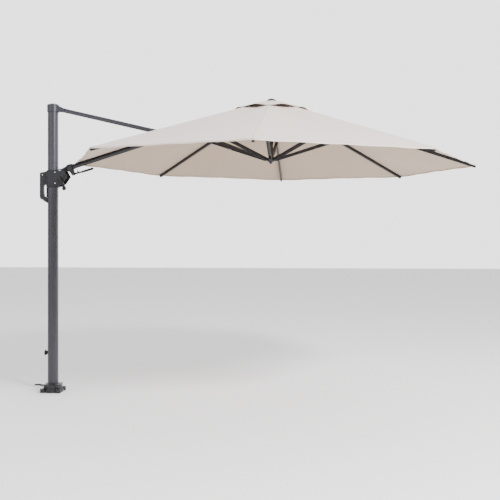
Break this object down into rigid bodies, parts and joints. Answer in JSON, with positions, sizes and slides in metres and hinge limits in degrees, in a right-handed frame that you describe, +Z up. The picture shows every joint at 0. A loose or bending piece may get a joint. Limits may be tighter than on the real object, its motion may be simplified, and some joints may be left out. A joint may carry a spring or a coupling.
{
  "type": "cantilever parasol",
  "caption": "Side-post parasol: a turning mast carries a sliding boom and a strut, and the boom holds an octagonal fabric canopy that folds, tilts and swivels.",
  "frame": {"origin": "centre of the base's bolt pattern, at the underside of the base plate, on the mast's axis", "axes": "+X along the boom towards the canopy, +Z up along the mast"},
  "size_m": [3.8693, 3.5064, 2.5871],
  "materials": {
    "anthracite": "powder coated, satin",
    "base_metal": "powder coated, satin",
    "black_plastic": "moulded, fine texture",
    "zinc_steel": "zinc plated",
    "cast_steel": "plain",
    "frame_black": "powder coated, satin",
    "fabric": "woven polyester"
  },
  "bodies": {
    "base": {"base_plate": "base_metal", "king_pin": "zinc_steel"},
    "mast": {"swivel_housing": "base_metal", "pedal_pin": "zinc_steel", "mast_tube": "anthracite", "mast_spigot": "cast_steel", "mast_head": "anthracite", "head_pin": "zinc_steel"},
    "foot_pedal": {"foot_pedal": "black_plastic"},
    "clamp_knob": {"clamp_knob": "black_plastic"},
    "arm_strut": {"strut_tube": "anthracite", "strut_top_lug": "anthracite", "strut_fork": "anthracite", "arm_pin": "zinc_steel"},
    "boom_carrier": {"boom_collar": "anthracite", "tilt_housing": "black_plastic", "tilt_pin": "zinc_steel"},
    "tilt_lever": {"tilt_lever": "black_plastic"},
    "slider": {"slider_body": "black_plastic", "slider_pin": "zinc_steel", "slider_bolts": "zinc_steel", "slider_handle": "black_plastic"},
    "release_trigger": {"release_trigger": "black_plastic"},
    "crank": {"winch_spool": "black_plastic", "crank_arm": "black_plastic", "winch_shaft": "zinc_steel", "crank_spindle": "zinc_steel"},
    "crank_knob": {"crank_knob": "black_plastic"},
    "boom": {"boom_tube": "anthracite", "boom_head": "black_plastic", "boom_tip_clip": "black_plastic", "boom_stay_collar": "black_plastic"},
    "hub": {"hub_crown": "black_plastic", "hub_pins": "zinc_steel", "finial": "black_plastic", "canopy": "fabric", "vent_cap": "fabric"},
    "rib_1": {"rib_1": "frame_black"},
    "stay_1": {"stay_1": "frame_black"},
    "rib_2": {"rib_2": "frame_black"},
    "stay_2": {"stay_2": "frame_black"},
    "rib_3": {"rib_3": "frame_black"},
    "stay_3": {"stay_3": "frame_black"},
    "rib_4": {"rib_4": "frame_black"},
    "stay_4": {"stay_4": "frame_black"},
    "rib_5": {"rib_5": "frame_black"},
    "stay_5": {"stay_5": "frame_black"},
    "rib_6": {"rib_6": "frame_black"},
    "stay_6": {"stay_6": "frame_black"},
    "rib_7": {"rib_7": "frame_black"},
    "stay_7": {"stay_7": "frame_black"},
    "stay_8": {"stay_8": "frame_black"},
    "runner": {"runner": "black_plastic", "runner_pins": "zinc_steel", "runner_cap": "black_plastic", "centre_post": "black_plastic"}
  },
  "joints": [
    {"name": "mast_swivel", "type": "hinge", "parent": "base", "child": "mast", "pos_m": [0, 0, 0.0405], "axis": [0, 0, 1], "continuous": true},
    {"name": "foot_pedal_press", "type": "hinge", "parent": "mast", "child": "foot_pedal", "pos_m": [-0.086, 0, 0.052], "axis": [0, -1, 0], "range_deg": [0, 12], "stiffness_Nm_per_rad": 12, "springref_deg": -8.59},
    {"name": "clamp_knob_turn", "type": "hinge", "parent": "mast", "child": "clamp_knob", "pos_m": [-0.06, 0, 0.346], "axis": [-1, 0, 0], "continuous": true},
    {"name": "arm_fold", "type": "hinge", "parent": "mast", "child": "arm_strut", "pos_m": [0.08, 0, 2.516], "axis": [0, 1, 0], "range_deg": [0, 44]},
    {"name": "arm_pivot", "type": "hinge", "parent": "arm_strut", "child": "boom_carrier", "pos_m": [1.05, 0, 2.244], "axis": [0, 1, 0], "range_deg": [-89, 1]},
    {"name": "slider_pivot", "type": "hinge", "parent": "boom_carrier", "child": "slider", "pos_m": [0.08, 0, 1.972], "axis": [0, 1, 0], "range_deg": [-1, 45]},
    {"name": "trigger_squeeze", "type": "slide", "parent": "slider", "child": "release_trigger", "axis": [-1, 0, 0], "range_m": [0, 0.004], "stiffness_N_per_m": 400, "springref_m": -0.005},
    {"name": "crank_turn", "type": "hinge", "parent": "slider", "child": "crank", "pos_m": [0.077, 0, 1.908], "axis": [0, 1, 0], "range_deg": [-1, 2641]},
    {"name": "crank_knob_spin", "type": "hinge", "parent": "crank", "child": "crank_knob", "pos_m": [0.132, -0.08, 1.809], "axis": [0, 1, 0], "continuous": true},
    {"name": "tilt_lever_squeeze", "type": "hinge", "parent": "boom_carrier", "child": "tilt_lever", "pos_m": [0.186, 0, 1.942], "axis": [0, -1, 0], "range_deg": [0, 8], "stiffness_Nm_per_rad": 6, "springref_deg": -14.32},
    {"name": "canopy_tilt", "type": "hinge", "parent": "boom_carrier", "child": "boom", "pos_m": [1.90576, 0, 2.53368], "axis": [0.9563, 0, 0.2922], "range_deg": [-20, 20]},
    {"name": "canopy_fold", "type": "hinge", "parent": "boom", "child": "hub", "pos_m": [1.90284, 0, 2.54324], "axis": [0, 1, 0], "range_deg": [0, 66], "deforming": ["canopy", "vent_cap"]},
    {"name": "rib_1_fold", "type": "hinge", "parent": "hub", "child": "rib_1", "pos_m": [1.91895, -0.03889, 2.54304], "axis": [0.7071, -0.7071, -0.0087], "range_deg": [-1, 67]},
    {"name": "stay_1_fold", "type": "hinge", "parent": "rib_1", "child": "stay_1", "pos_m": [1.37708, -0.5778, 2.30649], "axis": [0.7071, -0.7071, -0.0087], "range_deg": [-133, 1]},
    {"name": "rib_2_fold", "type": "hinge", "parent": "hub", "child": "rib_2", "pos_m": [1.95784, -0.055, 2.54256], "axis": [0.9999, 0, -0.0124], "range_deg": [-1, 67]},
    {"name": "stay_2_fold", "type": "hinge", "parent": "rib_2", "child": "stay_2", "pos_m": [1.95483, -0.81713, 2.29935], "axis": [0.9999, 0, -0.0124], "range_deg": [-133, 1]},
    {"name": "rib_3_fold", "type": "hinge", "parent": "hub", "child": "rib_3", "pos_m": [1.99673, -0.03889, 2.54208], "axis": [0.7071, 0.7071, -0.0087], "range_deg": [-1, 67]},
    {"name": "stay_3_fold", "type": "hinge", "parent": "rib_3", "child": "stay_3", "pos_m": [2.53259, -0.5778, 2.29221], "axis": [0.7071, 0.7071, -0.0087], "range_deg": [-133, 1]},
    {"name": "rib_4_fold", "type": "hinge", "parent": "hub", "child": "rib_4", "pos_m": [2.01283, 0, 2.54188], "axis": [0, 1, 0], "range_deg": [-1, 67]},
    {"name": "stay_4_fold", "type": "hinge", "parent": "rib_4", "child": "stay_4", "pos_m": [2.7719, 0, 2.28925], "axis": [0, 1, 0], "range_deg": [-133, 1]},
    {"name": "rib_5_fold", "type": "hinge", "parent": "hub", "child": "rib_5", "pos_m": [1.99673, 0.03889, 2.54208], "axis": [-0.7071, 0.7071, 0.0087], "range_deg": [-1, 67]},
    {"name": "stay_5_fold", "type": "hinge", "parent": "rib_5", "child": "stay_5", "pos_m": [2.53259, 0.5778, 2.29221], "axis": [-0.7071, 0.7071, 0.0087], "range_deg": [-133, 1]},
    {"name": "rib_6_fold", "type": "hinge", "parent": "hub", "child": "rib_6", "pos_m": [1.95784, 0.055, 2.54256], "axis": [-0.9999, 0, 0.0124], "range_deg": [-1, 67]},
    {"name": "stay_6_fold", "type": "hinge", "parent": "rib_6", "child": "stay_6", "pos_m": [1.95483, 0.81713, 2.29935], "axis": [-0.9999, 0, 0.0124], "range_deg": [-133, 1]},
    {"name": "rib_7_fold", "type": "hinge", "parent": "hub", "child": "rib_7", "pos_m": [1.91895, 0.03889, 2.54304], "axis": [-0.7071, -0.7071, 0.0087], "range_deg": [-1, 67]},
    {"name": "stay_7_fold", "type": "hinge", "parent": "rib_7", "child": "stay_7", "pos_m": [1.37708, 0.5778, 2.30649], "axis": [-0.7071, -0.7071, 0.0087], "range_deg": [-133, 1]},
    {"name": "stay_8_fold", "type": "hinge", "parent": "boom", "child": "stay_8", "pos_m": [1.13776, 0, 2.30945], "axis": [0, 1, 0], "range_deg": [-1, 133]},
    {"name": "runner_fold", "type": "hinge", "parent": "stay_8", "child": "runner", "pos_m": [1.89683, 0, 2.05682], "axis": [0, 1, 0], "range_deg": [-67, 1]}
  ],
  "couplings": [
    {"joint": "arm_pivot", "follows": "arm_fold", "ratio": -2},
    {"joint": "slider_pivot", "follows": "arm_fold", "ratio": 1},
    {"joint": "crank_turn", "follows": "canopy_fold", "ratio": 40},
    {"joint": "rib_1_fold", "follows": "canopy_fold", "ratio": 1},
    {"joint": "stay_1_fold", "follows": "canopy_fold", "ratio": -2},
    {"joint": "rib_2_fold", "follows": "canopy_fold", "ratio": 1},
    {"joint": "stay_2_fold", "follows": "canopy_fold", "ratio": -2},
    {"joint": "rib_3_fold", "follows": "canopy_fold", "ratio": 1},
    {"joint": "stay_3_fold", "follows": "canopy_fold", "ratio": -2},
    {"joint": "rib_4_fold", "follows": "canopy_fold", "ratio": 1},
    {"joint": "stay_4_fold", "follows": "canopy_fold", "ratio": -2},
    {"joint": "rib_5_fold", "follows": "canopy_fold", "ratio": 1},
    {"joint": "stay_5_fold", "follows": "canopy_fold", "ratio": -2},
    {"joint": "rib_6_fold", "follows": "canopy_fold", "ratio": 1},
    {"joint": "stay_6_fold", "follows": "canopy_fold", "ratio": -2},
    {"joint": "rib_7_fold", "follows": "canopy_fold", "ratio": 1},
    {"joint": "stay_7_fold", "follows": "canopy_fold", "ratio": -2},
    {"joint": "stay_8_fold", "follows": "canopy_fold", "ratio": 2},
    {"joint": "runner_fold", "follows": "canopy_fold", "ratio": -1}
  ]
}
